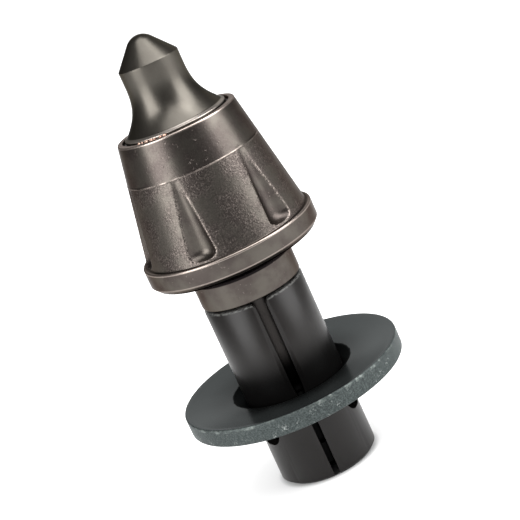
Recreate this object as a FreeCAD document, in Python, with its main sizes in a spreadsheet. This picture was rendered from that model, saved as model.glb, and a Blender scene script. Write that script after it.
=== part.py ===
import FreeCAD, Part
import math
import os
import Sketcher

# Round-shank road milling pick, as supplied: a forged pick with a brazed
# carbide tip, a slotted clamping sleeve on its shank, and a wear washer that
# holds the sleeve pressed together until the pick is driven into its holder.
# Millimetres. +Z runs up the axis to the tip, the origin is the centre of the
# sleeve's lower end, and the sleeve's slot faces -Y.

doc = FreeCAD.newDocument("milling_pick")

# ---------------------------------------------------------------- driving sizes
SIZES = {
    # clamping sleeve
    "sleeve_diameter": 20.0,
    "sleeve_pressed_diameter": 19.7,
    "sleeve_swell_length": 0.5,
    "sleeve_length": 37.8,
    "sleeve_wall": 1.6,
    "sleeve_lead_in": 0.7,
    "sleeve_top_bevel": 0.3,
    "slot_width_at_top": 2.2,
    "slot_width_over_washer": 1.96,
    "slot_width_under_washer": 1.4,
    "slot_width_at_end": 1.2,
    "slot_corner_radius": 1.0,
    "window_width": 6.6,
    "window_length": 7.0,
    "window_corner_radius": 2.6,
    "window_angle": 66.0,
    "tongue_width": 4.6,
    "tongue_end_gap": 2.0,
    "tongue_clearance": 0.25,
    # running fits on the sleeve, per side
    "running_clearance": 0.05,
    # wear washer
    "washer_diameter": 44.0,
    "washer_thickness": 3.7,
    "washer_height": 16.5,
    "washer_dish": 1.4,
    "washer_edge": 0.4,
    "countersink_diameter": 24.1,
    "countersink_depth": 1.3,
    # shank
    "shank_recess": 1.6,
    "shank_bevel": 1.0,
    "shank_head_length": 5.3,
    "groove_depth": 1.3,
    "groove_lead": 2.2,
    "groove_spare": 1.4,
    "collar_gap": 0.55,
    "collar_length": 7.35,
    "collar_bevel": 0.35,
    # forged head
    "flange_diameter": 34.1,
    "flange_height": 4.4,
    "flange_edge": 0.35,
    "head_foot_diameter": 32.3,
    "head_height": 23.1,
    "rim_diameter": 23.3,
    "rim_wall": 1.0,
    "rim_edge": 0.3,
    "flute_foot": 0.45,
    "flute_length": 14.7,
    "flute_depth": 1.75,
    "flute_foot_radius": 3.3,
    "flute_end_bevel": 1.1,
    "flute_tip_radius": 1.2,
    "flute_tip_gap": 0.03,
    "flute_count": 6,
    "head_turn": 8.1,
    # carbide tip and its brazed seat
    "tip_base_diameter": 19.95,
    "tip_base_height": 3.35,
    "tip_proud": 0.25,
    "tip_lip_width": 0.6,
    "tip_lip_rise": 0.3,
    "tip_neck_diameter": 11.68,
    "tip_flare_height": 8.6,
    "tip_flare_shoulder": 2.2,
    "tip_flare_shoulder_rise": 2.4,
    "tip_flare_run_out": 4.5,
    "tip_neck_height": 2.9,
    "tip_cone_angle": 83.0,
    "tip_nose_radius": 3.2,
    "braze_gap": 0.2,
    "braze_below_rim": 0.6,
}

sheet = doc.addObject("Spreadsheet::Sheet", "sizes")
for row, (alias, number) in enumerate(SIZES.items(), start=1):
    sheet.set(f"A{row}", alias)
    sheet.set(f"B{row}", str(number))
    sheet.setAlias(f"B{row}", alias)
doc.recompute()


class Size:
    """A length or angle: its value now, and the sheet expression that sets it."""

    def __init__(self, value, text):
        self.value = float(value)
        self.text = text

    def __add__(self, other):
        other = as_size(other)
        return Size(self.value + other.value, f"({self.text} + {other.text})")

    def __sub__(self, other):
        other = as_size(other)
        return Size(self.value - other.value, f"({self.text} - {other.text})")

    def __mul__(self, other):
        other = as_size(other)
        return Size(self.value * other.value, f"({self.text} * {other.text})")

    def __truediv__(self, other):
        other = as_size(other)
        return Size(self.value / other.value, f"({self.text} / {other.text})")


def as_size(number):
    return number if isinstance(number, Size) else Size(number, str(number))


def size(alias):
    return Size(getattr(sheet, alias), f"sizes.{alias}")


def root(square):
    return Size(math.sqrt(square.value), f"sqrt({square.text})")


def sine(degrees):
    return Size(math.sin(math.radians(degrees.value)), f"sin({degrees.text} * 1 deg)")


def cosine(degrees):
    return Size(math.cos(math.radians(degrees.value)), f"cos({degrees.text} * 1 deg)")


ZERO = Size(0, "0")

# ------------------------------------------------------- sizes that follow them
sleeve_radius = size("sleeve_diameter") / 2
sleeve_bore = sleeve_radius - size("sleeve_wall")
pressed_radius = size("sleeve_pressed_diameter") / 2
pressed_bore = pressed_radius - size("sleeve_wall")
shank_radius = pressed_bore - size("running_clearance")
groove_radius = shank_radius - size("groove_depth")
washer_radius = size("washer_diameter") / 2
washer_bore = sleeve_radius + size("running_clearance")
countersink_radius = size("countersink_diameter") / 2
washer_slope = size("washer_dish") / (washer_radius - countersink_radius)
washer_top = size("washer_height") + size("washer_thickness")

window_low = size("shank_recess") + size("shank_head_length") + size("groove_lead")
window_high = window_low + size("window_length")

groove_low = size("shank_head_length")
groove_high = groove_low + size("groove_lead") + size("window_length") + size("groove_spare")
collar_low = size("sleeve_length") + size("collar_gap") - size("shank_recess")
flange_low = collar_low + size("collar_length")
flange_high = flange_low + size("flange_height")
rim_high = flange_high + size("head_height")
flange_radius = size("flange_diameter") / 2
foot_radius = size("head_foot_diameter") / 2
rim_radius = size("rim_diameter") / 2
pocket_radius = rim_radius - size("rim_wall")

tip_base_radius = size("tip_base_diameter") / 2
tip_neck_radius = size("tip_neck_diameter") / 2
seat_depth = size("tip_base_height") - size("tip_proud") + size("braze_gap")
pocket_floor = rim_high - seat_depth


# ------------------------------------------------------------------ sketch tools
def new_body(name, low=ZERO, turn=None):
    """A body under its node name, raised by low and turned about the axis."""
    body = doc.addObject("PartDesign::Body", name)
    body.Label = name
    degrees = turn.value if turn else 0.0
    body.Placement = FreeCAD.Placement(
        FreeCAD.Vector(0, 0, low.value),
        FreeCAD.Rotation(FreeCAD.Vector(0, 0, 1), degrees),
    )
    if low is not ZERO:
        body.setExpression("Placement.Base.z", low.text)
    if turn:
        body.setExpression("Placement.Rotation.Angle", turn.text)
    return body


def origin_plane(body, role):
    return next(f for f in body.Origin.OriginFeatures if f.Role == role)


def new_sketch(body, name, role="XZ_Plane"):
    sketch = body.newObject("Sketcher::SketchObject", name)
    sketch.AttachmentSupport = [(origin_plane(body, role), "")]
    sketch.MapMode = "FlatFace"
    return sketch


def bind(sketch, constraint, target):
    """Adds a constraint whose value follows the sheet."""
    index = sketch.addConstraint(constraint)
    if target.text != str(target.value):
        sketch.setExpression(f"Constraints[{index}]", target.text)


def pin_vertex(sketch, curve, end, across, up):
    """Fixes one end of a curve at its distances across and up from the origin."""
    if across is ZERO:
        sketch.addConstraint(Sketcher.Constraint("PointOnObject", curve, end, -2))
    else:
        bind(sketch, Sketcher.Constraint("DistanceX", -1, 1, curve, end, across.value), across)
    if up is ZERO:
        sketch.addConstraint(Sketcher.Constraint("PointOnObject", curve, end, -1))
    else:
        bind(sketch, Sketcher.Constraint("DistanceY", -1, 1, curve, end, up.value), up)


def arc_through(start, end, radius, side):
    """The arc of this radius from start to end that bulges to the given side.

    side is +1 when the arc's middle lies to the left of the line from start to
    end, and -1 when it lies to the right.
    """
    chord = end - start
    half = chord.Length / 2
    left = FreeCAD.Vector(-chord.y, chord.x, 0).normalize()
    rise = radius - math.sqrt(max(radius * radius - half * half, 0.0))
    middle = (start + end) * 0.5 + left * (side * rise)
    return Part.Arc(start, middle, end)


def cubic_curve(sketch, start, handles, end):
    """A cubic curve from start to end whose two handles are pinned in place."""
    poles = [start]
    poles += [FreeCAD.Vector(across.value, up.value, 0) for across, up in handles]
    poles.append(end)
    spline = Part.BSplineCurve(poles, None, None, False, 3, None, False)
    curve = sketch.addGeometry(spline, False)
    sketch.exposeInternalGeometry(curve)
    # the circles that mark the poles follow the curve, and 3 is their centre
    for offset, (across, up) in enumerate(handles, start=2):
        pin_vertex(sketch, curve + offset, 3, across, up)
    return curve


def outline(sketch, vertices):
    """A closed outline through (across, up) vertices, each pair of them Sizes.

    A vertex may end with (radius, side): the stretch that leaves it is then an
    arc of that radius, bulging to that side. It may end with a list of two
    (across, up) pairs instead: the stretch is then the cubic curve that leaves
    its vertex towards the first and reaches the next vertex from the second.
    Otherwise it is a straight line.
    """
    points = [FreeCAD.Vector(v[0].value, v[1].value, 0) for v in vertices]
    curves = []
    ends = []
    for index, vertex in enumerate(vertices):
        start = points[index]
        end = points[(index + 1) % len(points)]
        if len(vertex) > 2 and isinstance(vertex[2], list):
            curve = cubic_curve(sketch, start, vertex[2], end)
            ends.append((1, 2))
        elif len(vertex) > 2:
            radius, side = vertex[2]
            arc = arc_through(start, end, radius.value, side)
            curve = sketch.addGeometry(arc, False)
            bind(sketch, Sketcher.Constraint("Radius", curve, radius.value), radius)
            # a sketch stores its arcs anticlockwise
            forward = (sketch.getPoint(curve, 1) - start).Length < 1e-6
            ends.append((1, 2) if forward else (2, 1))
        else:
            curve = sketch.addGeometry(Part.LineSegment(start, end), False)
            ends.append((1, 2))
        curves.append(curve)
    for index, vertex in enumerate(vertices):
        before = index - 1
        sketch.addConstraint(Sketcher.Constraint(
            "Coincident", curves[before], ends[before][1], curves[index], ends[index][0]))
        pin_vertex(sketch, curves[index], ends[index][0], vertex[0], vertex[1])


def revolve(body, sketch, kind="PartDesign::Revolution", axis="V_Axis"):
    feature = body.newObject(kind, f"{sketch.Name}_turn")
    feature.Profile = sketch
    feature.ReferenceAxis = (sketch, [axis])
    feature.Angle = 360.0
    sketch.Visibility = False
    doc.recompute()
    return feature


def volume(shape_owner):
    return shape_owner.Shape.Volume


def expect_less(name, before, after):
    if not after < before - 1e-6:
        raise RuntimeError(f"{name} removed nothing")


def expect_more(name, before, after):
    if not after > before + 1e-6:
        raise RuntimeError(f"{name} added nothing")


# --------------------------------------------------------------- clamping sleeve
def clamping_sleeve():
    """Rolled spring-steel sleeve: slot in front, three windows with tongues.

    The washer holds it pressed together: it runs out to its larger diameter at
    the washer, and is narrower below.
    """
    body = new_body("clamping_sleeve")
    lead = size("sleeve_lead_in")
    bevel = size("sleeve_top_bevel")
    top = size("sleeve_length")
    swell_low = size("washer_height") - size("sleeve_swell_length")
    wall = new_sketch(body, "sleeve_wall_section")
    outline(wall, [
        (pressed_bore, ZERO),
        (pressed_radius - lead, ZERO),
        (pressed_radius, lead),
        (pressed_radius, swell_low),
        (sleeve_radius, size("washer_height")),
        (sleeve_radius, top - bevel),
        (sleeve_radius - bevel, top),
        (sleeve_bore, top),
        (sleeve_bore, size("washer_height")),
        (pressed_bore, swell_low),
    ])
    revolve(body, wall)

    # the slot closes towards the end that the washer presses together
    slot = new_sketch(body, "slot")
    corner = size("slot_corner_radius")
    levels = [
        (size("slot_width_at_end") / 2, ZERO),
        (size("slot_width_under_washer") / 2, size("washer_height")),
        (size("slot_width_over_washer") / 2, washer_top),
    ]
    top_half = size("slot_width_at_top") / 2
    right = [(half, up) for half, up in levels]
    right.append((top_half, top - corner, (corner, 1)))
    right.append((top_half + corner, top))
    left = [(half * -1, up) for half, up in reversed(levels)]
    left.insert(0, (top_half * -1, top - corner))
    left.insert(0, ((top_half + corner) * -1, top, (corner, 1)))
    outline(slot, right + left)
    solid = volume(body)
    cut = body.newObject("PartDesign::Pocket", "slot_cut")
    cut.Profile = slot
    cut.Type = "Length"
    cut.Length = 2 * sleeve_radius.value
    cut.setExpression("Length", (sleeve_radius * 2).text)
    cut.Reversed = True
    slot.Visibility = False
    doc.recompute()
    expect_less("slot_cut", solid, volume(cut))

    # a window with a round lower end, window_angle away from the slot
    window = new_sketch(body, "window")
    turn_about_axis(window, size("window_angle"))
    half_window = size("window_width") / 2
    round_end = size("window_corner_radius")
    straight = half_window - round_end
    outline(window, [
        (straight * -1, window_low),
        (straight, window_low, (round_end, -1)),
        (half_window, window_low + round_end),
        (half_window, window_high),
        (half_window * -1, window_high),
        (half_window * -1, window_low + round_end, (round_end, -1)),
    ])
    solid = volume(body)
    opening = body.newObject("PartDesign::Pocket", "window_cut")
    opening.Profile = window
    opening.Type = "Length"
    opening.Length = 2 * sleeve_radius.value
    opening.setExpression("Length", (sleeve_radius * 2).text)
    opening.Reversed = True
    window.Visibility = False
    doc.recompute()
    expect_less("window_cut", solid, volume(opening))

    # its tongue hangs from the window's upper edge and leans into the groove
    tongue = new_sketch(body, "tongue", "YZ_Plane")
    turn_about_axis(tongue, size("window_angle"))
    half_width = size("tongue_width") / 2
    inset = size("sleeve_top_bevel") / 3
    root_out = root(pressed_radius * pressed_radius - half_width * half_width) - inset
    root_in = root_out - size("sleeve_wall")
    end_in = groove_radius + size("tongue_clearance")
    end_out = end_in + size("sleeve_wall")
    root_up = window_high + size("sleeve_wall") / 4
    end_up = window_low + size("tongue_end_gap")
    outline(tongue, [
        (end_out * -1, end_up),
        (end_in * -1, end_up),
        (root_in * -1, window_high),
        (root_in * -1, root_up),
        (root_out * -1, root_up),
        (root_out * -1, window_high),
    ])
    solid = volume(body)
    pad = body.newObject("PartDesign::Pad", "tongue_pad")
    pad.Profile = tongue
    pad.Type = "Length"
    pad.Length = 2 * half_width.value
    pad.setExpression("Length", "sizes.tongue_width")
    pad.Midplane = True
    tongue.Visibility = False
    doc.recompute()
    expect_more("tongue_pad", solid, volume(pad))

    # the three stand symmetrically about the slot, one of them at the back
    pattern = body.newObject("PartDesign::PolarPattern", "window_pattern")
    pattern.Originals = [opening, pad]
    pattern.Axis = (origin_axis(body), [""])
    pattern.Angle = 360 - 2 * size("window_angle").value
    pattern.setExpression("Angle", "360 - 2 * sizes.window_angle")
    pattern.Occurrences = 3
    body.Tip = pattern
    doc.recompute()
    return body


def origin_axis(body):
    return next(f for f in body.Origin.OriginFeatures if f.Role == "Z_Axis")


def turn_about_axis(sketch, degrees):
    """Turns an upright sketch plane about the part's axis, from -Y towards +X."""
    upright = FreeCAD.Rotation(FreeCAD.Vector(0, 1, 0), degrees.value)
    sketch.AttachmentOffset = FreeCAD.Placement(FreeCAD.Vector(), upright)
    sketch.setExpression("AttachmentOffset.Rotation.Angle", degrees.text)


# ------------------------------------------------------------------- wear washer
def wear_washer():
    """Washer with a shallow dished top and a countersunk bore, flat underneath."""
    body = new_body("wear_washer", size("washer_height"))
    edge = size("washer_edge")
    thick = size("washer_thickness")
    sink_high = thick - size("washer_dish")
    section = new_sketch(body, "washer_section")
    outline(section, [
        (washer_bore, ZERO),
        (washer_radius, ZERO),
        (washer_radius, thick - edge),
        (washer_radius - edge, thick - washer_slope * edge),
        (countersink_radius, sink_high),
        (washer_bore, sink_high - size("countersink_depth")),
    ])
    revolve(body, section)
    return body


# --------------------------------------------------------------------- pick body
def head_radius(up):
    """Radius of the head's plain cone at this height above the flange."""
    taper = (foot_radius - rim_radius) / size("head_height")
    return foot_radius - taper * up


def pick_body():
    """One forging: fluted head with its tip pocket, flange, collar and shank."""
    body = new_body("pick_body", size("shank_recess"), size("head_turn"))
    bevel = size("shank_bevel")
    collar_bevel = size("collar_bevel")
    edge = size("flange_edge")
    rim_edge = size("rim_edge")
    neck_low = flange_low - washer_slope * (flange_radius - countersink_radius)
    section = new_sketch(body, "pick_section")
    outline(section, [
        (ZERO, ZERO),
        (shank_radius - bevel, ZERO),
        (shank_radius, bevel),
        (shank_radius, groove_low),
        (groove_radius, groove_low),
        (groove_radius, groove_high),
        (shank_radius, groove_high + size("groove_depth")),
        (shank_radius, collar_low),
        (sleeve_radius - collar_bevel, collar_low),
        (sleeve_radius, collar_low + collar_bevel),
        (sleeve_radius, neck_low - size("countersink_depth")),
        (countersink_radius, neck_low),
        (flange_radius - edge, flange_low - washer_slope * edge),
        (flange_radius, flange_low + edge),
        (flange_radius, flange_high - edge),
        (flange_radius - edge, flange_high),
        (foot_radius, flange_high),
        (head_radius(size("head_height") - rim_edge), rim_high - rim_edge),
        (rim_radius - rim_edge, rim_high),
        (pocket_radius, rim_high),
        (pocket_radius, pocket_floor),
        (ZERO, pocket_floor),
    ])
    revolve(body, section)
    flute = flute_cut(body)
    pattern = body.newObject("PartDesign::PolarPattern", "flute_pattern")
    pattern.Originals = [flute]
    pattern.Axis = (origin_axis(body), [""])
    pattern.Angle = 360.0
    pattern.Occurrences = int(size("flute_count").value)
    pattern.setExpression("Occurrences", "sizes.flute_count")
    body.Tip = pattern
    doc.recompute()
    return body


def flute_cut(body):
    """One flute: the hollow of a tapered, bevel-ended tool lying on the cone.

    The tool is deepest in the head just above the flange and runs out of the
    surface below the rim. Its axis is the sketch's construction line.
    """
    foot_up = size("flute_foot")
    tip_up = foot_up + size("flute_length")
    drop = foot_radius - rim_radius
    slant = root(drop * drop + size("head_height") * size("head_height"))
    out_across = size("head_height") / slant
    out_up = drop / slant
    foot_lift = size("flute_foot_radius") - size("flute_depth")
    tip_small = size("flute_tip_radius")
    tip_lift = tip_small + size("flute_tip_gap")
    foot_x = head_radius(foot_up) + out_across * foot_lift
    foot_z = flange_high + foot_up + out_up * foot_lift
    tip_x = head_radius(tip_up) + out_across * tip_lift
    tip_z = flange_high + tip_up + out_up * tip_lift

    sketch = new_sketch(body, "flute")
    low = FreeCAD.Vector(foot_x.value, foot_z.value, 0)
    high = FreeCAD.Vector(tip_x.value, tip_z.value, 0)
    along = (high - low).normalize()
    inward = FreeCAD.Vector(-along.y, along.x, 0)
    bevel = size("flute_end_bevel")
    flat = size("flute_foot_radius") - bevel
    corner = low + inward * flat.value
    shoulder = corner + (along + inward) * bevel.value
    small = high + inward * tip_small.value

    axis = sketch.addGeometry(Part.LineSegment(low, high), True)
    end_face = sketch.addGeometry(Part.LineSegment(low, corner), False)
    slope = sketch.addGeometry(Part.LineSegment(corner, shoulder), False)
    side = sketch.addGeometry(Part.LineSegment(shoulder, small), False)
    top_face = sketch.addGeometry(Part.LineSegment(small, high), False)
    back = sketch.addGeometry(Part.LineSegment(high, low), False)

    join = sketch.addConstraint
    pin_vertex(sketch, axis, 1, foot_x, foot_z)
    pin_vertex(sketch, axis, 2, tip_x, tip_z)
    join(Sketcher.Constraint("Coincident", end_face, 1, axis, 1))
    join(Sketcher.Constraint("Perpendicular", end_face, axis))
    join(Sketcher.Constraint("Coincident", end_face, 2, slope, 1))
    join(Sketcher.Constraint("Coincident", slope, 2, side, 1))
    join(Sketcher.Constraint("Coincident", side, 2, top_face, 1))
    join(Sketcher.Constraint("Perpendicular", top_face, axis))
    join(Sketcher.Constraint("Coincident", top_face, 2, axis, 2))
    join(Sketcher.Constraint("Coincident", back, 1, axis, 2))
    join(Sketcher.Constraint("Coincident", back, 2, axis, 1))
    bind(sketch, Sketcher.Constraint("Distance", end_face, flat.value), flat)
    shoulder_out = size("flute_foot_radius")
    bind(sketch, Sketcher.Constraint("Distance", slope, 2, axis, shoulder_out.value), shoulder_out)
    bind(sketch, Sketcher.Constraint("Distance", slope, 2, end_face, bevel.value), bevel)
    bind(sketch, Sketcher.Constraint("Distance", top_face, tip_small.value), tip_small)
    solid = volume(body)
    flute = revolve(body, sketch, "PartDesign::Groove", "Axis0")
    expect_less("flute", solid, volume(flute))
    return flute


# ------------------------------------------------------------------- carbide tip
def carbide_tip():
    """One sintered piece: round-nosed cone on a neck that flares to its base."""
    body = new_body("carbide_tip", size("shank_recess") + pocket_floor + size("braze_gap"))
    lip_low = size("tip_base_height")
    lip_inner = tip_base_radius - size("tip_lip_width")
    lip_high = lip_low + size("tip_lip_rise")
    neck_low = lip_high + size("tip_flare_height")
    neck_high = neck_low + size("tip_neck_height")
    shoulder = (lip_inner - size("tip_flare_shoulder"), lip_high + size("tip_flare_shoulder_rise"))
    run_out = (tip_neck_radius, neck_low - size("tip_flare_run_out"))
    half_angle = size("tip_cone_angle") / 2
    nose = size("tip_nose_radius")
    nose_across = nose * cosine(half_angle)
    cone_height = (tip_neck_radius - nose_across) * cosine(half_angle) / sine(half_angle)
    nose_up = neck_high + cone_height
    summit = nose_up + nose * (Size(1, "1") - sine(half_angle))
    section = new_sketch(body, "tip_section")
    outline(section, [
        (ZERO, ZERO),
        (tip_base_radius, ZERO),
        (tip_base_radius, lip_low),
        (lip_inner, lip_high, [shoulder, run_out]),
        (tip_neck_radius, neck_low),
        (tip_neck_radius, neck_high),
        (nose_across, nose_up, (nose, -1)),
        (ZERO, summit),
    ])
    revolve(body, section)
    return body


def braze_joint():
    """Filler metal that fills the seat between the tip's base and the pocket."""
    body = new_body("braze_joint", size("shank_recess") + pocket_floor)
    gap = size("braze_gap")
    top = seat_depth - size("braze_below_rim")
    section = new_sketch(body, "braze_section")
    outline(section, [
        (ZERO, ZERO),
        (pocket_radius, ZERO),
        (pocket_radius, top),
        (tip_base_radius, top),
        (tip_base_radius, gap),
        (ZERO, gap),
    ])
    revolve(body, section)
    return body


# -------------------------------------------------------------- build and export
bodies = [clamping_sleeve(), wear_washer(), pick_body(), braze_joint(), carbide_tip()]
doc.recompute()

for thing in doc.Objects:
    if "Invalid" in thing.State or "Error" in thing.State:
        raise RuntimeError(f"{thing.Name} did not build: {thing.State}")

os.makedirs("parts", exist_ok=True)
for body in bodies:
    shape = body.Shape
    if shape.isNull() or not shape.isValid() or len(shape.Solids) != 1:
        raise RuntimeError(f"{body.Label} is not one valid solid")
    shape.exportStep(f"parts/{body.Label}.step")
    box = shape.BoundBox
    print(f"{body.Label}: {shape.Volume:.1f} mm3, z {box.ZMin:.2f} to {box.ZMax:.2f}, "
          f"x {box.XMin:.2f} to {box.XMax:.2f}, faces {len(shape.Faces)}")
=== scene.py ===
# %% [markdown]
# # A road milling pick, dressed in Blender
#
# The solids come from the CAD model: a forged pick with a brazed carbide tip,
# a slotted clamping sleeve on its shank, and a dished wear washer around the
# sleeve. This file gives them the finish of the real thing. Everything is in
# metres, +Z runs up the pick's axis, and the slot of the sleeve faces -Y.

import math
import random

import bmesh
import bpy
from mathutils import Matrix, Vector


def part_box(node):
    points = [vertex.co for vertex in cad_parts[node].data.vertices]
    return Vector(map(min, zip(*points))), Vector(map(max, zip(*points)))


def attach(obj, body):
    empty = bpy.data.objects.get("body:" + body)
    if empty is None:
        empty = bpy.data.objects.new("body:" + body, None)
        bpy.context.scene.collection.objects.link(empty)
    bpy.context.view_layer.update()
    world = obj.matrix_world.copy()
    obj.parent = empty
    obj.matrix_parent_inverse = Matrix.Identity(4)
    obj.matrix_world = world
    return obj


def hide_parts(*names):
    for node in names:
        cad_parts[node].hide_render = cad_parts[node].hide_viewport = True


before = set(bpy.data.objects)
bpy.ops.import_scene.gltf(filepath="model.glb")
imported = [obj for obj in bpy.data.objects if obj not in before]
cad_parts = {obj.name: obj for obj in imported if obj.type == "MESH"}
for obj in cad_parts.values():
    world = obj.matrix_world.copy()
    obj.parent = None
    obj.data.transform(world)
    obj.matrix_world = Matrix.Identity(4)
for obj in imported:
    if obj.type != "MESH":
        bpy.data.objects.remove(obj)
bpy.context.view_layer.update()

scene = bpy.context.scene
MM = 0.001


def bottom_of(node):
    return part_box(node)[0][2]


def top_of(node):
    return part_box(node)[1][2]


def radius_of(node):
    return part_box(node)[1][0]


# %% [markdown]
# ## Writing rules as sums
#
# Geometry Nodes and shader nodes both do arithmetic with Math nodes. A long rule
# is hard to read as a wall of nodes, so this small class lets the script write
# it as an ordinary sum. Each operator makes one Math node.

# %% A number that nodes work out
class Field:
    """One number at every point, held by an output socket of a node tree."""

    def __init__(self, tree, socket):
        self.tree = tree
        self.socket = socket

    def math(self, operation, *others):
        node = self.tree.nodes.new("ShaderNodeMath")
        node.operation = operation
        for index, value in enumerate((self, *others)):
            if isinstance(value, Field):
                self.tree.links.new(value.socket, node.inputs[index])
            else:
                node.inputs[index].default_value = value
        return Field(self.tree, node.outputs[0])

    def __add__(self, other):
        return self.math("ADD", other)

    def __sub__(self, other):
        return self.math("SUBTRACT", other)

    def __mul__(self, other):
        return self.math("MULTIPLY", other)

    def __truediv__(self, other):
        return self.math("DIVIDE", other)

    def __rsub__(self, other):
        return self.math("MULTIPLY", -1.0) + other

    __radd__ = __add__
    __rmul__ = __mul__

    def root(self):
        return self.math("MAXIMUM", 0.0).math("SQRT")

    def clamp(self):
        return self.math("MAXIMUM", 0.0).math("MINIMUM", 1.0)


def ramp_between(field, low, high):
    """0 below low, 1 above high and a smooth step between them."""
    node = field.tree.nodes.new("ShaderNodeMapRange")
    node.interpolation_type = "SMOOTHSTEP"
    field.tree.links.new(field.socket, node.inputs["Value"])
    node.inputs["From Min"].default_value = low
    node.inputs["From Max"].default_value = high
    return Field(field.tree, node.outputs["Result"])


def band_of(field, low, high, soft=0.1 * MM):
    """1 between low and high, falling to 0 within soft on both sides."""
    return ramp_between(field, low - soft, low) * ramp_between(field, high + soft, high)


# %% [markdown]
# ## Turned pieces
#
# The pick, its tip, the washer and the braze are all turned about one axis. Each
# is drawn as half a section: a short list of corners, with a rounding where the
# real corner is worn or forged round. The rounded section is a chain of points,
# and Geometry Nodes sweeps it round the axis.

# %% Half sections
ARC_STEPS = 5


def rounded_section(corners, longest=None):
    """Points (radius, height) along a section, from (radius, height, rounding) corners.

    longest is the longest step that a straight stretch may take.
    """
    points = []
    count = len(corners)
    for index, (radius, height, rounding) in enumerate(corners):
        here = Vector((radius, height))
        if rounding == 0 or index in (0, count - 1):
            points.append(here)
            continue
        back = Vector(corners[index - 1][:2]) - here
        ahead = Vector(corners[index + 1][:2]) - here
        half = back.angle(ahead) / 2
        run = min(rounding / math.tan(half), 0.45 * back.length, 0.45 * ahead.length)
        start = here + back.normalized() * run
        end = here + ahead.normalized() * run
        for step in range(ARC_STEPS + 1):
            t = step / ARC_STEPS
            points.append(start.lerp(here, t).lerp(here.lerp(end, t), t))
    if longest is None:
        return points
    dense = [points[0]]
    for a, b in zip(points, points[1:]):
        steps = max(1, math.ceil((b - a).length / longest))
        dense += [a.lerp(b, (step + 1) / steps) for step in range(steps)]
    return dense


def section_object(name, points):
    """The section as a loose chain of vertices in the XZ plane."""
    mesh = bpy.data.meshes.new(name)
    vertices = [(p.x, 0.0, p.y) for p in points]
    edges = [(i, i + 1) for i in range(len(points) - 1)]
    mesh.from_pydata(vertices, edges, [])
    piece = bpy.data.objects.new(name, mesh)
    scene.collection.objects.link(piece)
    return piece


# %% [markdown]
# ## The tree that turns and flutes
#
# A grid has one column for each step round the axis and one row for each point of
# the section. Every vertex looks up its own section point by index, is carried
# round to its own angle, and is pushed inwards where a flute passes. A flute is
# the hollow that a tapered, round-ended tool leaves when it lies on the cone, so
# its depth at any point comes from the tool's radius and from how far that point
# lies from the middle of the flute. Above its upper end the cut fades out.

# %% Build the turning tree
FADE_RUN = 0.9 * MM


def add_input(tree, name, value, kind="NodeSocketFloat"):
    socket = tree.interface.new_socket(name=name, in_out="INPUT", socket_type=kind)
    if value is not None:
        socket.default_value = value
    return socket


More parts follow.
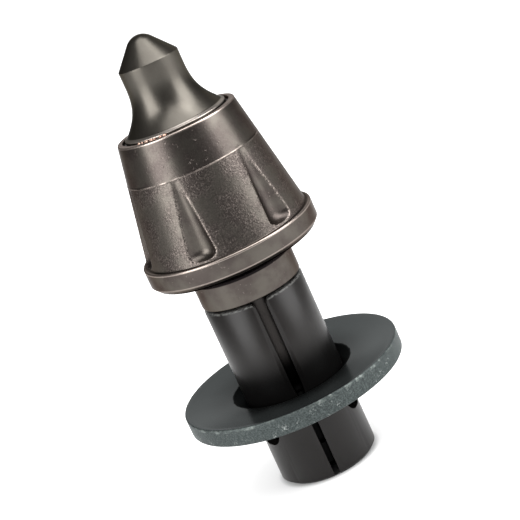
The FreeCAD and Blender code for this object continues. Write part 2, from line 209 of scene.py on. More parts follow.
def turning_tree():
    tree = bpy.data.node_groups.new("turned_and_fluted", "GeometryNodeTree")
    new = tree.nodes.new
    link = tree.links.new
    tree.interface.new_socket(name="Section", in_out="INPUT", socket_type="NodeSocketGeometry")
    add_input(tree, "Steps Round", 360, "NodeSocketInt")
    add_input(tree, "Flute Count", 6.0)
    add_input(tree, "Flute Depth", 0.0)
    add_input(tree, "Flute Low", 0.0)
    add_input(tree, "Flute High", 1.0)
    add_input(tree, "Tool Radius Low", 3.3 * MM)
    add_input(tree, "Tool Radius High", 1.2 * MM)
    add_input(tree, "Tool End", 1.6 * MM)
    add_input(tree, "Lip Rounding", 0.6 * MM)
    add_input(tree, "First Flute", 0.0)
    add_input(tree, "Material", None, "NodeSocketMaterial")
    tree.interface.new_socket(name="Piece", in_out="OUTPUT", socket_type="NodeSocketGeometry")
    given = new("NodeGroupInput")
    result = new("NodeGroupOutput")

    def value(name):
        return Field(tree, given.outputs[name])

    size = new("GeometryNodeAttributeDomainSize")
    link(given.outputs["Section"], size.inputs[0])
    rows = Field(tree, size.outputs["Point Count"])
    steps = value("Steps Round")
    grid = new("GeometryNodeMeshGrid")
    link((steps + 1).socket, grid.inputs["Vertices X"])
    link(rows.socket, grid.inputs["Vertices Y"])

    # a grid counts its vertices column by column
    index = Field(tree, new("GeometryNodeInputIndex").outputs[0])
    column = (index / rows).math("FLOOR")
    row = index - column * rows
    angle = column / steps * math.tau
    place = new("GeometryNodeSampleIndex")
    place.data_type = "FLOAT_VECTOR"
    link(given.outputs["Section"], place.inputs["Geometry"])
    link(new("GeometryNodeInputPosition").outputs[0], place.inputs["Value"])
    link(row.socket, place.inputs["Index"])
    split = new("ShaderNodeSeparateXYZ")
    link(place.outputs["Value"], split.inputs[0])
    radius = Field(tree, split.outputs["X"])
    height = Field(tree, split.outputs["Z"])

    # the tool narrows upwards, and its lower end is round
    low = value("Flute Low")
    along = ((value("Flute High") - height) / (value("Flute High") - low)).clamp()
    high_radius = value("Tool Radius High")
    tool = high_radius + (value("Tool Radius Low") - high_radius) * along
    lift = high_radius + (value("Tool Radius Low") - value("Flute Depth") - high_radius) * along
    end = value("Tool End")
    into_end = ((end - (height - low)) / end).clamp()
    below = (low - height).math("MAXIMUM", 0.0)
    tool = tool - end * (1.0 - (1.0 - into_end * into_end).root())
    tool = (tool - below * 2.0).math("MAXIMUM", 0.0)
    pitch = value("Flute Count").math("POWER", -1.0) * math.tau
    turn = (angle - value("First Flute")).math("WRAP", pitch * 0.5, pitch * -0.5)
    aside = radius * turn
    depth = (tool * tool - aside * aside).root() - lift
    cut = depth.math("SMOOTH_MAX", 0.0, value("Lip Rounding"))
    cut = cut * ((value("Flute High") - height) / FADE_RUN + 1.0).clamp()
    radius = (radius - cut * (value("Flute Depth").math("GREATER_THAN", 0.0))).math("MAXIMUM", 0.0)

    join = new("ShaderNodeCombineXYZ")
    link((radius * angle.math("SINE")).socket, join.inputs["X"])
    link((radius * angle.math("COSINE") * -1.0).socket, join.inputs["Y"])
    link(height.socket, join.inputs["Z"])
    shape = new("GeometryNodeSetPosition")
    link(grid.outputs["Mesh"], shape.inputs["Geometry"])
    link(join.outputs[0], shape.inputs["Position"])
    close = new("GeometryNodeMergeByDistance")
    close.inputs["Distance"].default_value = 0.0005 * MM
    link(shape.outputs[0], close.inputs["Geometry"])
    smooth = new("GeometryNodeSetShadeSmooth")
    link(close.outputs[0], smooth.inputs["Geometry"])
    real = new("GeometryNodeRealizeInstances")
    link(smooth.outputs[0], real.inputs[0])
    paint = new("GeometryNodeSetMaterial")
    link(real.outputs[0], paint.inputs["Geometry"])
    link(given.outputs["Material"], paint.inputs["Material"])
    link(paint.outputs[0], result.inputs[0])
    return tree


TURNING = turning_tree()
print(TURNING.name, len(TURNING.nodes), "nodes")


# %% [markdown]
# ## From section to finished mesh
#
# The modifier is set up on the section's object, evaluated once, and its result
# becomes a plain mesh that no longer needs the tree.

# %% Turn a section
def socket_id(tree, name):
    for item in tree.interface.items_tree:
        if item.item_type == "SOCKET" and item.in_out == "INPUT" and item.name == name:
            return item.identifier
    raise KeyError(name)


def turn_piece(name, points, material, steps, **inputs):
    source = section_object(name + "_section", points)
    modifier = source.modifiers.new("turn", "NODES")
    modifier.node_group = TURNING
    modifier[socket_id(TURNING, "Steps Round")] = steps
    modifier[socket_id(TURNING, "Material")] = material
    for key, number in inputs.items():
        modifier[socket_id(TURNING, key.replace("_", " ").title())] = number
    bpy.context.view_layer.update()
    evaluated = source.evaluated_get(bpy.context.evaluated_depsgraph_get())
    mesh = bpy.data.meshes.new_from_object(evaluated)
    mesh.name = name
    bpy.data.objects.remove(source)
    piece = bpy.data.objects.new(name, mesh)
    scene.collection.objects.link(piece)
    face_outwards(piece)
    print(name, len(mesh.vertices), "vertices", len(mesh.polygons), "faces")
    return piece


def face_outwards(piece):
    mesh = piece.data
    loose = bmesh.new()
    loose.from_mesh(mesh)
    bmesh.ops.recalc_face_normals(loose, faces=loose.faces)
    if loose.calc_volume(signed=True) < 0:
        bmesh.ops.reverse_faces(loose, faces=loose.faces)
    loose.to_mesh(mesh)
    loose.free()
    mesh.shade_smooth()


# %% [markdown]
# ## Finishes
#
# Each finish is one Principled surface. Its colour, roughness and bump come from
# noise that reads the object's own coordinates, at the scale that the real
# texture has: pebbles of a third of a millimetre on the blasted forging, fine
# scratches on the sleeve, a torn edge on the washer.

# %% Shader helpers
class Finish:
    """A material and the few node recipes that the finishes share."""

    def __init__(self, name, roughness, metallic):
        self.material = bpy.data.materials.new(name)
        self.material.use_nodes = True
        self.tree = self.material.node_tree
        self.surface = self.tree.nodes["Principled BSDF"]
        self.surface.inputs["Metallic"].default_value = metallic
        self.surface.inputs["Roughness"].default_value = roughness
        self.where = self.tree.nodes.new("ShaderNodeTexCoord").outputs["Object"]
        self.normal = None
        split = self.tree.nodes.new("ShaderNodeSeparateXYZ")
        self.tree.links.new(self.where, split.inputs[0])
        self.height = Field(self.tree, split.outputs["Z"])
        across = Field(self.tree, split.outputs["X"])
        deep = Field(self.tree, split.outputs["Y"])
        self.radius = (across * across + deep * deep).root()

    def grain(self, size, detail=3.0, stretch=(1, 1, 1), roughness=0.55, seed=0.0):
        """Noise from 0 to 1 whose lumps measure about size metres."""
        mapping = self.tree.nodes.new("ShaderNodeMapping")
        self.tree.links.new(self.where, mapping.inputs["Vector"])
        mapping.inputs["Location"].default_value = (seed, seed * 0.7, seed * 0.3)
        mapping.inputs["Scale"].default_value = [1 / (size * s) for s in stretch]
        texture = self.tree.nodes.new("ShaderNodeTexNoise")
        texture.inputs["Scale"].default_value = 1.0
        texture.inputs["Detail"].default_value = detail
        texture.inputs["Roughness"].default_value = roughness
        self.tree.links.new(mapping.outputs[0], texture.inputs["Vector"])
        return Field(self.tree, texture.outputs["Fac"])

    def colour(self, first, second, mask):
        """Mixes two colours, each an RGB triple or a colour socket."""
        mix = self.tree.nodes.new("ShaderNodeMix")
        mix.data_type = "RGBA"
        self.tree.links.new(mask.socket, mix.inputs["Factor"])
        for name, value in (("A", first), ("B", second)):
            socket = next(s for s in mix.inputs if s.name == name and s.type == "RGBA")
            if isinstance(value, bpy.types.NodeSocket):
                self.tree.links.new(value, socket)
            else:
                socket.default_value = (*value, 1.0)
        return next(s for s in mix.outputs if s.type == "RGBA")

    def paint(self, socket):
        self.tree.links.new(socket, self.surface.inputs["Base Color"])

    def rough(self, field):
        self.tree.links.new(field.socket, self.surface.inputs["Roughness"])

    def bump(self, height, depth, strength=1.0):
        """Adds relief: height from 0 to 1 stands for depth metres."""
        node = self.tree.nodes.new("ShaderNodeBump")
        node.inputs["Strength"].default_value = strength
        node.inputs["Distance"].default_value = depth
        self.tree.links.new(height.socket, node.inputs["Height"])
        if self.normal:
            self.tree.links.new(self.normal, node.inputs["Normal"])
        self.normal = node.outputs[0]
        self.tree.links.new(self.normal, self.surface.inputs["Normal"])


# %% [markdown]
# ## Where things are on the pick
#
# The frame gives the outer sizes of each piece. The rest are those of the
# pieces' own drawings.

# %% Sizes
RIM_Z = top_of("pick_body")
SHANK_END_Z = bottom_of("pick_body")
FLANGE_RADIUS = radius_of("pick_body")
HEAD_HEIGHT = 23.1 * MM
FLANGE_TOP_Z = RIM_Z - HEAD_HEIGHT
FLANGE_LOW_Z = FLANGE_TOP_Z - 4.4 * MM
COLLAR_LOW_Z = FLANGE_LOW_Z - 7.35 * MM
FOOT_RADIUS = 16.15 * MM
RIM_RADIUS = 11.65 * MM
POCKET_RADIUS = 10.65 * MM
FLASH_Z = FLANGE_TOP_Z + 15.5 * MM
FLUTE_LOW_Z = FLANGE_TOP_Z + 0.45 * MM
FLUTE_HIGH_Z = FLUTE_LOW_Z + 14.7 * MM
FIRST_FLUTE = math.radians(38.1)
SLOT_DARK_Z = 28 * MM
LOWER_BEVEL = 0.9 * MM
BEVEL_TOP_Z = FLANGE_LOW_Z + LOWER_BEVEL
LIP_Z = bottom_of("carbide_tip") + 3.35 * MM
BRAZE_LOW_Z = bottom_of("braze_joint")
BRAZE_TOP_Z = top_of("braze_joint")
SLEEVE_TOP_Z = top_of("clamping_sleeve")
WASHER_TOP_Z = top_of("wear_washer")
WASHER_RADIUS = radius_of("wear_washer")
SINK_RADIUS = 12.05 * MM
print("rim", round(RIM_Z / MM, 2), "mm, flange", round(FLANGE_TOP_Z / MM, 2), "mm")

# %% [markdown]
# ## Forged steel
#
# The die leaves a flash line round the head. Above it the steel has been rubbed
# smooth, and below it the blasted scale is pebbled and a little brown, but for
# the flutes, which the die leaves smooth. Nicks, flute lips and bits of the flash
# line are rubbed bright, the rim and the flange's edges carry painted highlights,
# and the corner under the flange carries painted shade.

# %% Colours of the forging
SCALE_PALE = (0.080, 0.072, 0.063)
SCALE_BROWN = (0.057, 0.048, 0.044)
PEBBLE_TOP = (0.120, 0.102, 0.092)
PEBBLE_GAP = (0.040, 0.034, 0.031)
# light steel for rubbed edges and for the painted highlights on the rim and flange edges
RUBBED_AND_HIGHLIGHT_STEEL = (0.34, 0.29, 0.26)
# painted shade for the corner under the flange
UNDER_FLANGE_SHADE = (0.006, 0.005, 0.005)
# a darker tone for the shank below the collar
SHANK_DARKER_TONE = (0.022, 0.020, 0.019)
# near black for painted shade, used on the pick, the sleeve and the washer
SHADE_BLACK = (0.002, 0.002, 0.002)


# %% Forged steel
def forged_steel():
    finish = Finish("forged_steel", 0.4, 1.0)
    height = finish.height
    outer = finish.radius
    below = ramp_between(height, FLASH_Z + 0.3 * MM, FLASH_Z - 0.3 * MM)
    on_head = ramp_between(height, FLANGE_TOP_Z - 0.1 * MM, FLANGE_TOP_Z + 0.2 * MM)
    patches = finish.grain(4.5 * MM, detail=4.0, seed=3.0)
    cloud = ramp_between(patches, 0.35, 0.65)
    pebbles = finish.grain(0.3 * MM, detail=2.0, roughness=0.5, seed=7.0)
    fine = finish.grain(0.16 * MM, detail=2.0, seed=11.0)
    nicks = finish.grain(0.55 * MM, detail=3.0, seed=21.0)
    nicked = ramp_between(nicks, 0.64, 0.72) * ramp_between(patches, 0.45, 0.6)
    taper = (RIM_RADIUS - FOOT_RADIUS) / HEAD_HEIGHT
    cone = (height - FLANGE_TOP_Z) * taper + FOOT_RADIUS
    sunk = (cone - outer) * on_head * below
    hollow = ramp_between(sunk, 0.15 * MM, 0.45 * MM)
    lips = band_of(sunk, 0.04 * MM, 0.16 * MM, 0.04 * MM)
    pebbled = (below * 0.8 + 0.2) * on_head * (1.0 - hollow * 0.85)
    blasted = pebbled * (ramp_between(patches, 0.36, 0.6) * 0.75 + 0.25)
    base = finish.colour(SCALE_PALE, SCALE_BROWN, cloud)
    speckle = blasted * ramp_between(pebbles, 0.5, 0.66)
    base = finish.colour(base, PEBBLE_TOP, speckle)
    base = finish.colour(base, PEBBLE_GAP, blasted * ramp_between(pebbles, 0.44, 0.3))

    # painted highlights on the rim and on both edges of the flange, and rubbed bright steel on
    # parts of the flash line, the nicks and the flute lips
    rim = ramp_between(height, RIM_Z - 0.45 * MM, RIM_Z - 0.2 * MM)
    outside = ramp_between(outer, FLANGE_RADIUS - 0.6 * MM, FLANGE_RADIUS - 0.3 * MM)
    upper = band_of(height, FLANGE_TOP_Z - 0.4 * MM, FLANGE_TOP_Z - 0.02 * MM) * outside
    lower = band_of(height, BEVEL_TOP_Z - 0.12 * MM, BEVEL_TOP_Z + 0.15 * MM)
    broken = ramp_between(finish.grain(3.0 * MM, detail=4.0, seed=31.0), 0.42, 0.6)
    flash = band_of(height, FLASH_Z - 0.05 * MM, FLASH_Z + 0.1 * MM, 0.08 * MM) * broken
    lips = lips * ramp_between(height, FLUTE_HIGH_Z - 1.5 * MM, FLUTE_HIGH_Z - 4 * MM)
    lips = lips * ramp_between(pebbles, 0.42, 0.6)
    flange_edge_highlights = upper * 0.7 + lower * 0.4
    wear_and_edge_highlights = (rim + flange_edge_highlights + flash * 0.6 + nicked * 0.22 + lips * 0.4).clamp()
    base = finish.colour(base, RUBBED_AND_HIGHLIGHT_STEEL, wear_and_edge_highlights)

    # painted shade in the corner under the flange and on the shank deep in the sleeve's slot; the
    # shank below the collar is a darker tone
    corner = band_of(height, FLANGE_LOW_Z - 2.45 * MM, FLANGE_LOW_Z + 0.2 * MM, 0.15 * MM)
    base = finish.colour(base, UNDER_FLANGE_SHADE, corner)
    shank = ramp_between(height, COLLAR_LOW_Z, COLLAR_LOW_Z - 0.2 * MM)
    base = finish.colour(base, SHANK_DARKER_TONE, shank)
    # painted shade: the shank is near black deep in the sleeve's slot
    deep = ramp_between(height, SLOT_DARK_Z, SLOT_DARK_Z - 5 * MM)
    base = finish.colour(base, SHADE_BLACK, deep)
    finish.paint(base)
    finish.surface.inputs["Specular Tint"].default_value = (0.45, 0.43, 0.42, 1.0)
    finish.rough(0.25 + patches * 0.12 + below * on_head * 0.05)
    relief = pebbles * blasted + fine * 0.08 - nicked * 0.5
    finish.bump(relief, 0.06 * MM, 0.9)
    return finish.material


# %% [markdown]
# ## Sintered carbide
#
# The tip is pressed from powder and sintered: a dense, satin, slightly brown
# grey with faint drawn marks along it.

# %% Carbide
def cemented_carbide():
    finish = Finish("cemented_carbide", 0.3, 1.0)
    marks = finish.grain(0.5 * MM, detail=3.0, stretch=(1, 1, 9), seed=2.0)
    spots = finish.grain(2.2 * MM, detail=4.0, seed=5.0)
    base = finish.colour((0.084, 0.078, 0.068), (0.066, 0.060, 0.052), spots)
    # painted highlight: a light band round the lip near the tip's base
    lip = band_of(finish.height, LIP_Z - 0.15 * MM, LIP_Z + 0.25 * MM)
    base = finish.colour(base, (0.34, 0.31, 0.28), lip)
    finish.paint(base)
    finish.surface.inputs["Specular Tint"].default_value = (0.45, 0.44, 0.42, 1.0)
    finish.rough(0.25 + marks * 0.08 + spots * 0.06)
    finish.bump(marks, 0.015 * MM, 0.6)
    return finish.material


# %% Braze
def braze_metal():
    finish = Finish("braze_metal", 0.45, 1.0)
    lumps = finish.grain(0.5 * MM, detail=4.0, seed=4.0)
    bead = ramp_between(finish.grain(3.5 * MM, detail=2.0, seed=13.0), 0.52, 0.6)
    metal = finish.colour((0.22, 0.12, 0.09), (0.50, 0.34, 0.27), ramp_between(lumps, 0.4, 0.6))
    proud = ramp_between(finish.height, BRAZE_TOP_Z + 0.02 * MM, BRAZE_TOP_Z + 0.06 * MM)
    bead = bead.math("MAXIMUM", proud)
    finish.paint(finish.colour((0.035, 0.026, 0.022), metal, bead))
    finish.bump(lumps, 0.15 * MM, 0.8)
    return finish.material


# %% [markdown]
# ## Black steels
#
# The sleeve is blued spring steel with an oil film, and the washer is black plate
# whose edge was blanked, so it tore and shows a coarse grey-green grain.

# %% Sleeve and washer steels
def black_spring_steel():
    finish = Finish("black_spring_steel", 0.3, 0.0)
    cloud = finish.grain(6 * MM, detail=3.0, seed=1.0)
    fine = finish.grain(0.2 * MM, detail=2.0, seed=9.0)
    base = finish.colour((0.009, 0.008, 0.0075), (0.013, 0.0115, 0.011), cloud)
    # painted shade and dark reflection of the washer: the sleeve is near black just above the
    # washer, fading out upwards, with less shine
    shade_near_washer = band_of(finish.height, WASHER_TOP_Z - 2 * MM, WASHER_TOP_Z + 1.5 * MM, 7 * MM)
    base = finish.colour(base, SHADE_BLACK, shade_near_washer * 0.9)
    # painted highlights along the top edge and the foot of the sleeve, broken up by noise
    edges = finish.grain(0.6 * MM, detail=2.0, seed=17.0)
    top = ramp_between(finish.height, SLEEVE_TOP_Z - 0.4 * MM, SLEEVE_TOP_Z - 0.15 * MM)
    foot = ramp_between(finish.height, 0.3 * MM, 0.1 * MM) * ramp_between(edges, 0.5, 0.6)
    edge_highlights = (top * ramp_between(edges, 0.35, 0.6) + foot).clamp()
    base = finish.colour(base, (0.11, 0.11, 0.105), edge_highlights)
    finish.paint(base)
    shine = 0.2 - shade_near_washer * 0.14
    finish.tree.links.new(shine.socket, finish.surface.inputs["Specular IOR Level"])
    finish.rough(0.27 + cloud * 0.14)
    finish.bump(fine, 0.01 * MM, 0.5)
    return finish.material


def black_plate_steel():
    finish = Finish("black_plate_steel", 0.3, 0.7)
    edge = ramp_between(finish.radius, WASHER_RADIUS - 0.35 * MM, WASHER_RADIUS - 0.1 * MM)
    cloud = finish.grain(7 * MM, detail=3.0, seed=6.0)
    torn = finish.grain(0.3 * MM, detail=5.0, roughness=0.7, seed=8.0)
    tears = finish.grain(1.6 * MM, detail=4.0, seed=15.0)
    top = finish.colour((0.030, 0.034, 0.034), (0.044, 0.049, 0.049), cloud)
    # painted shade and dark reflection of the sleeve: the washer's top darkens towards the bore
    shade_round_bore = ramp_between(finish.radius + cloud * 3 * MM, 20 * MM, 13 * MM)
    top = finish.colour(top, (0.009, 0.010, 0.010), shade_round_bore)
    # painted shade: the countersink and a ragged ring round it are near black, with little shine
    ragged = finish.radius + tears * 0.7 * MM
    countersink_shade = ramp_between(ragged, SINK_RADIUS + 0.75 * MM, SINK_RADIUS + 0.45 * MM)
    top = finish.colour(top, SHADE_BLACK, countersink_shade)
    grain = ramp_between(torn, 0.36, 0.68)
    rim = finish.colour((0.026, 0.032, 0.032), (0.068, 0.080, 0.078), grain)
    torn_patch = ramp_between(tears, 0.56, 0.66) * ramp_between(torn, 0.5, 0.6)
    rim = finish.colour(rim, (0.24, 0.26, 0.25), torn_patch)
    # painted highlight along the rim's top edge, broken up by noise
    top_edge_highlight = band_of(finish.height, WASHER_TOP_Z - 0.6 * MM, WASHER_TOP_Z - 0.2 * MM, 0.15 * MM)
    rim = finish.colour(rim, (0.16, 0.18, 0.17), top_edge_highlight * ramp_between(tears, 0.46, 0.7))
    finish.paint(finish.colour(top, rim, edge))
    finish.surface.inputs["Specular Tint"].default_value = (0.6, 0.62, 0.62, 1.0)
    shine = 0.5 - countersink_shade * 0.48
    finish.tree.links.new(shine.socket, finish.surface.inputs["Specular IOR Level"])
    finish.rough(0.16 + cloud * 0.06 + edge * 0.26 + countersink_shade * 0.4)
    finish.bump(torn * edge + tears * edge * 0.8, 0.09 * MM, 0.9)
    return finish.material


STEEL = forged_steel()
CARBIDE = cemented_carbide()
BRAZE = braze_metal()
SPRING_STEEL = black_spring_steel()
PLATE_STEEL = black_plate_steel()
for made in (STEEL, CARBIDE, BRAZE, SPRING_STEEL, PLATE_STEEL):
    print(made.name, len(made.node_tree.nodes), "nodes")

# %% [markdown]
# ## The forging
#
# One section carries the tip's pocket, the rim, the fluted cone, the flange, the
# collar and the shank with its groove.

# %% Pick body
SHANK_RADIUS = 8.2 * MM
GROOVE_RADIUS = 6.9 * MM
COLLAR_RADIUS = 10.0 * MM
POCKET_DEPTH = 3.3 * MM
SHANK_HEAD_TOP_Z = SHANK_END_Z + 5.3 * MM
GROOVE_TOP_Z = SHANK_HEAD_TOP_Z + 10.6 * MM
FLASH_HEIGHT = 0.05 * MM
FLASH_SPREAD = 0.13 * MM
FINE_ROW = 0.06 * MM
COARSE_ROW = 0.22 * MM


def cone_radius(z):
    return FOOT_RADIUS + (RIM_RADIUS - FOOT_RADIUS) * (z - FLANGE_TOP_Z) / HEAD_HEIGHT


def head_rows():
    """Section of the head from the rim to the flange, close enough for flutes."""
    upper = rounded_section([
        (0.0, RIM_Z - POCKET_DEPTH, 0),
        (POCKET_RADIUS, RIM_Z - POCKET_DEPTH, 0),
        (POCKET_RADIUS, RIM_Z, 0.12 * MM),
        (RIM_RADIUS, RIM_Z, 0.35 * MM),
        (cone_radius(RIM_Z - 2 * MM), RIM_Z - 2 * MM, 0),
    ])
    lowest = FLANGE_TOP_Z + 0.3 * MM
    cone = []
    z = RIM_Z - 2 * MM
    while z > lowest:
        ridge = FLASH_HEIGHT * math.exp(-((z - FLASH_Z) / FLASH_SPREAD) ** 2)
        cone.append(Vector((cone_radius(z) + ridge, z)))
        z -= FINE_ROW if abs(z - FLASH_Z) < 0.4 * MM else COARSE_ROW
    lower = rounded_section([
        (cone_radius(lowest), lowest, 0),
        (FOOT_RADIUS, FLANGE_TOP_Z, 0.25 * MM),
        (FLANGE_RADIUS, FLANGE_TOP_Z, 0.4 * MM),
        (FLANGE_RADIUS, BEVEL_TOP_Z, 0.12 * MM),
        (FLANGE_RADIUS - LOWER_BEVEL, FLANGE_LOW_Z - 0.1 * MM, 0.2 * MM),
        (12.05 * MM, FLANGE_LOW_Z - 0.7 * MM, 0),
        (COLLAR_RADIUS, FLANGE_LOW_Z - 2.0 * MM, 0.3 * MM),
        (COLLAR_RADIUS, COLLAR_LOW_Z, 0.35 * MM),
        (SHANK_RADIUS, COLLAR_LOW_Z, 0.2 * MM),
        (SHANK_RADIUS, GROOVE_TOP_Z + 1.3 * MM, 0),
        (GROOVE_RADIUS, GROOVE_TOP_Z, 0.3 * MM),
        (GROOVE_RADIUS, SHANK_HEAD_TOP_Z, 0.2 * MM),
        (SHANK_RADIUS, SHANK_HEAD_TOP_Z, 0.2 * MM),
        (SHANK_RADIUS, SHANK_END_Z + 1.0 * MM, 0.2 * MM),
        (SHANK_RADIUS - 1.0 * MM, SHANK_END_Z, 0.2 * MM),
        (0.0, SHANK_END_Z, 0),
    ], longest=2.5 * MM)
    return upper + cone[1:] + lower


pick = turn_piece(
    "forged_pick", head_rows(), STEEL, 432,
    flute_depth=1.75 * MM,
    flute_low=FLUTE_LOW_Z,
    flute_high=FLUTE_HIGH_Z,
    first_flute=FIRST_FLUTE,
)
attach(pick, "pick")
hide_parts("pick_body")

# %% [markdown]
# ## The carbide tip
#
# A round-nosed cone on a neck, which flares to a wide base. The flare is one
# cubic curve, and the edge between the cone and the neck stays crisp.

# %% Carbide tip
TIP_LOW_Z = bottom_of("carbide_tip")
TIP_TOP_Z = top_of("carbide_tip")
TIP_RADIUS = radius_of("carbide_tip")
NECK_RADIUS = 5.84 * MM
NOSE_RADIUS = 3.2 * MM
CONE_HALF_ANGLE = math.radians(41.5)


def cubic(a, b, c, d, t):
    s = 1 - t
    return a * s ** 3 + b * 3 * s * s * t + c * 3 * s * t * t + d * t ** 3


def tip_section():
    lip = Vector((TIP_RADIUS - 0.6 * MM, LIP_Z + 0.3 * MM))
    neck_low = Vector((NECK_RADIUS, lip.y + 8.6 * MM))
    neck_high = Vector((NECK_RADIUS, neck_low.y + 2.9 * MM))
    shoulder = lip + Vector((-2.2, 2.4)) * MM
    run_out = neck_low - Vector((0, 4.5 * MM))
    base = rounded_section([
        (0.0, TIP_LOW_Z, 0),
        (TIP_RADIUS, TIP_LOW_Z, 0),
        (TIP_RADIUS, LIP_Z, 0.15 * MM),
        (lip.x, lip.y, 0),
    ])
    flare = [cubic(lip, shoulder, run_out, neck_low, (i + 1) / 40) for i in range(40)]
    centre = TIP_TOP_Z - NOSE_RADIUS
    nose_start = Vector((
        NOSE_RADIUS * math.cos(CONE_HALF_ANGLE),
        centre + NOSE_RADIUS * math.sin(CONE_HALF_ANGLE),
    ))
    cone = rounded_section([
        (neck_low.x, neck_low.y, 0),
        (neck_high.x, neck_high.y, 0.12 * MM),
        (nose_start.x, nose_start.y, 0),
    ], longest=0.5 * MM)
    nose = []
    for step in range(1, 17):
        angle = CONE_HALF_ANGLE + (math.pi / 2 - CONE_HALF_ANGLE) * step / 16
        nose.append(Vector((NOSE_RADIUS * math.cos(angle), centre + NOSE_RADIUS * math.sin(angle))))
    nose[-1].x = 0.0
    return base + flare + cone[1:] + nose


tip = turn_piece("carbide_tip_dressed", tip_section(), CARBIDE, 256)
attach(tip, "pick")
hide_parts("carbide_tip")

# %% Braze joint
braze = turn_piece("braze_fill", rounded_section([
    (0.0, BRAZE_LOW_Z, 0),
    (POCKET_RADIUS, BRAZE_LOW_Z, 0),
    (POCKET_RADIUS, BRAZE_TOP_Z, 0),
    (TIP_RADIUS, BRAZE_TOP_Z, 0),
    (TIP_RADIUS, BRAZE_LOW_Z + 0.2 * MM, 0),
    (0.0, BRAZE_LOW_Z + 0.2 * MM, 0),
], longest=2 * MM), BRAZE, 180)
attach(braze, "pick")
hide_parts("braze_joint")


# %% Braze that welled up
def braze_beads():
    """A row of small lumps that the braze left between the lip and the rim."""
    dice = random.Random(6)
    loose = bmesh.new()
    for count in range(12):
        azimuth = math.radians(-50 + 3.2 * count + dice.uniform(-1.8, 1.8))
        radius = (TIP_RADIUS + POCKET_RADIUS) / 2 + dice.uniform(-0.1, 0.15) * MM
        size = dice.uniform(0.2, 0.38) * MM
        rise = BRAZE_TOP_Z + 0.35 * MM
        spot = Vector((radius * math.sin(azimuth), -radius * math.cos(azimuth), rise))
        squash = Matrix.Diagonal((1.0, 1.0, dice.uniform(1.3, 1.8), 1.0))
        bmesh.ops.create_icosphere(loose, subdivisions=2, radius=size,
                                   matrix=Matrix.Translation(spot) @ squash)
    mesh = bpy.data.meshes.new("braze_beads")
    loose.to_mesh(mesh)
    loose.free()
    mesh.materials.append(BRAZE)
    mesh.shade_smooth()
    beads = bpy.data.objects.new("braze_beads", mesh)
    scene.collection.objects.link(beads)
    return beads


beads = braze_beads()
print(beads.name, len(beads.data.polygons), "faces")
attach(beads, "pick")

# %% [markdown]
# ## The wear washer
#
# Dished on top and countersunk at its bore.

# %% Wear washer
WASHER_LOW_Z = bottom_of("wear_washer")
WASHER_RIM_Z = WASHER_LOW_Z + 3.7 * MM
WASHER_BORE = 10.05 * MM


def washer_section():
    return rounded_section([
        (WASHER_BORE, WASHER_LOW_Z, 0),
        (WASHER_BORE, WASHER_LOW_Z + 1.0 * MM, 0.1 * MM),
        (SINK_RADIUS, WASHER_RIM_Z - 1.4 * MM, 0.25 * MM),
        (WASHER_RADIUS, WASHER_RIM_Z, 0.45 * MM),
        (WASHER_RADIUS, WASHER_LOW_Z, 0.35 * MM),
        (WASHER_BORE, WASHER_LOW_Z, 0),
    ], longest=0.6 * MM)


washer = turn_piece("washer_dressed", washer_section(), PLATE_STEEL, 480)
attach(washer, "washer")
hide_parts("wear_washer")

# %% [markdown]
# ## The clamping sleeve
#
# Its slot, windows and tongues are right in the CAD solid, so a copy of that mesh
# is merged into one skin and shaded smoothly between its edges.

# %% Clamping sleeve
def smooth_copy(node, name, material):
    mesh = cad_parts[node].data.copy()
    mesh.name = name
    loose = bmesh.new()
    loose.from_mesh(mesh)
    bmesh.ops.remove_doubles(loose, verts=loose.verts, dist=0.001 * MM)
    loose.to_mesh(mesh)
    loose.free()
    mesh.materials.clear()
    mesh.materials.append(material)
    mesh.shade_smooth()
    mesh.set_sharp_from_angle(angle=math.radians(25))
    piece = bpy.data.objects.new(name, mesh)
    scene.collection.objects.link(piece)
    return piece


sleeve = smooth_copy("clamping_sleeve", "sleeve_dressed", SPRING_STEEL)
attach(sleeve, "sleeve")
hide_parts("clamping_sleeve")
print(sleeve.name, len(sleeve.data.polygons), "faces")

# %% [markdown]
# ## Floor, light and camera
#
# A wide pale floor that shows as white and keeps the soft shadow near the pick, a
# soft box to the left and to the right, one above, a dim panel behind, and a
# plain world.

# %% Floor
def floor_finish():
    """Pale and matt. What looks at it sees it white, but for the shadow near the pick."""
    finish = Finish("pale_floor", 0.9, 0.0)
    tree = finish.tree
    finish.surface.inputs["Base Color"].default_value = (0.55, 0.55, 0.55, 1)
    finish.surface.inputs["Specular IOR Level"].default_value = 0.0
    rays = tree.nodes.new("ShaderNodeLightPath")
    seen = Field(tree, rays.outputs["Is Camera Ray"])
    for name in ("Is Glossy Ray", "Is Transmission Ray"):
        seen = seen.math("MAXIMUM", Field(tree, rays.outputs[name]))
    open_sky = tree.nodes.new("ShaderNodeAmbientOcclusion")
    open_sky.samples = 16
    open_sky.inputs["Distance"].default_value = 0.018
    outside = ramp_between(finish.radius, 9.0 * MM, 11.0 * MM)
    glow = 0.94 + ramp_between(finish.radius, 0.05, 0.3) * 0.06
    glow = glow * Field(tree, open_sky.outputs["AO"]) * outside
    finish.surface.inputs["Emission Color"].default_value = (1, 1, 1, 1)
    tree.links.new((seen * glow).socket, finish.surface.inputs["Emission Strength"])
    return finish.material


def pale_floor():
    mesh = bpy.data.meshes.new("floor")
    half = 20.0
    corners = [(-half, -half, 0), (half, -half, 0), (half, half, 0), (-half, half, 0)]
    mesh.from_pydata(corners, [], [(0, 1, 2, 3)])
    floor = bpy.data.objects.new("floor", mesh)
    scene.collection.objects.link(floor)
    material = floor_finish()
    mesh.materials.append(material)
    return floor


pale_floor()


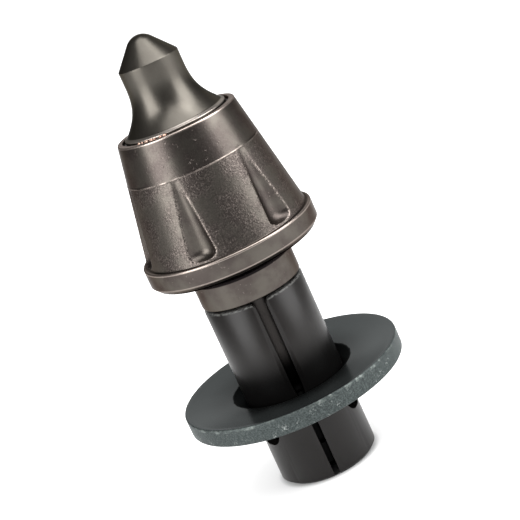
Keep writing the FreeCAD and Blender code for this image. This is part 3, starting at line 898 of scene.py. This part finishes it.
# %% Lights
def soft_box(name, azimuth, elevation, distance, width, height, glow):
    """A soft box that faces the middle of the pick; azimuth 0 is on the slot's side.

    glow is how bright its face looks, where 1 is white.
    """
    light = bpy.data.lights.new(name, "AREA")
    light.shape = "RECTANGLE"
    light.size = width
    light.size_y = height
    light.energy = glow * math.pi * width * height
    lamp = bpy.data.objects.new(name, light)
    a, e = math.radians(azimuth), math.radians(elevation)
    aim = Vector((0, 0, 0.055))
    away = Vector((math.sin(a) * math.cos(e), -math.cos(a) * math.cos(e), math.sin(e)))
    lamp.location = aim + away * distance
    lamp.rotation_euler = away.to_track_quat("Z", "Y").to_euler()
    lamp.visible_camera = False
    scene.collection.objects.link(lamp)
    print(name, "azimuth", azimuth, "elevation", elevation, "glow", glow)
    return lamp


soft_box("left_box", -58, 22, 0.7, 0.45, 0.6, 7.5)
soft_box("right_box", 66, 32, 0.7, 0.5, 0.8, 7.5)
soft_box("top_box", 36, 74, 0.7, 0.6, 0.6, 4.5)
soft_box("back_panel", 166, 24, 0.8, 0.8, 0.4, 0.8)

world = bpy.data.worlds.new("studio")
scene.world = world
world.use_nodes = True
world.node_tree.nodes["Background"].inputs["Color"].default_value = (1, 1, 1, 1)
world.node_tree.nodes["Background"].inputs["Strength"].default_value = 0.2

# %% Camera
CAMERA_TURN = math.radians(-1.3)
CAMERA_DISTANCE = 0.28004
CAMERA_HEIGHT = 0.11945
CAMERA_YAW = 0.0129
CAMERA_PITCH = 0.2687
CAMERA_ROLL = -0.4251
CAMERA_LENS = 106.64


def place_camera():
    data = bpy.data.cameras.new("camera")
    data.lens = CAMERA_LENS
    data.sensor_width = 36
    data.clip_start = 0.01
    data.clip_end = 100
    camera = bpy.data.objects.new("camera", data)
    scene.collection.objects.link(camera)
    forward = Vector((
        math.sin(CAMERA_YAW) * math.cos(CAMERA_PITCH),
        math.cos(CAMERA_YAW) * math.cos(CAMERA_PITCH),
        -math.sin(CAMERA_PITCH),
    ))
    right = Vector((math.cos(CAMERA_YAW), -math.sin(CAMERA_YAW), 0))
    up = right.cross(forward)
    cos_roll, sin_roll = math.cos(CAMERA_ROLL), math.sin(CAMERA_ROLL)
    rolled_right = right * cos_roll + up * sin_roll
    rolled_up = up * cos_roll - right * sin_roll
    axes = Matrix((rolled_right, rolled_up, -forward)).transposed().to_4x4()
    about_axis = Matrix.Rotation(CAMERA_TURN, 4, "Z")
    place = Matrix.Translation((0, -CAMERA_DISTANCE, CAMERA_HEIGHT))
    camera.matrix_world = about_axis @ place @ axes
    scene.camera = camera
    return camera


print("camera", [round(c, 4) for c in place_camera().matrix_world.translation])
scene.view_settings.view_transform = "Standard"
